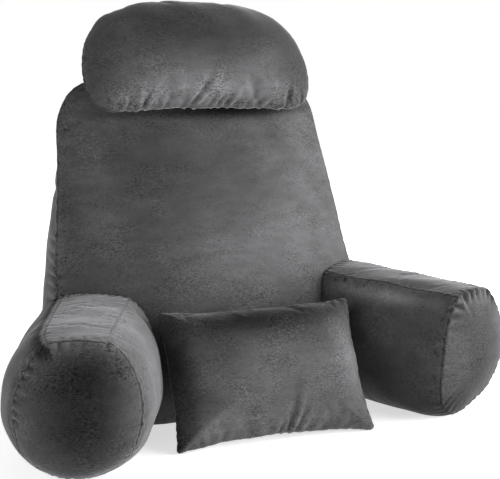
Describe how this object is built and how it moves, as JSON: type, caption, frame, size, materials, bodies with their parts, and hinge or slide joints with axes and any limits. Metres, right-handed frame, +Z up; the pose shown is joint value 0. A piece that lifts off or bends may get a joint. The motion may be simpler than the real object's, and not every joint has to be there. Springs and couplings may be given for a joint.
{
  "type": "reading pillow with arms",
  "caption": "Filled plush backrest pillow with side arms, a D-shaped neck cushion at its top and a lumbar cushion at its foot, for sitting up to read.",
  "frame": {"origin": "middle of the footprint of the whole pillow, on the floor it stands on", "axes": "+Z up; the sitter faces -Y; +X is to the sitter's left, across the arms"},
  "size_m": [0.8586, 0.6203, 0.6865],
  "materials": {
    "backrest": "short plush pile, dark charcoal grey, soft sheen",
    "arm_left": "short plush pile, dark charcoal grey, soft sheen",
    "arm_right": "short plush pile, dark charcoal grey, soft sheen",
    "neck_cushion": "short plush pile, dark charcoal grey, soft sheen",
    "lumbar_cushion": "short plush pile, dark charcoal grey, soft sheen"
  },
  "bodies": {
    "root": {"backrest": "backrest", "arm_left": "arm_left", "arm_right": "arm_right", "neck_cushion": "neck_cushion", "lumbar_cushion": "lumbar_cushion"}
  },
  "joints": []
}
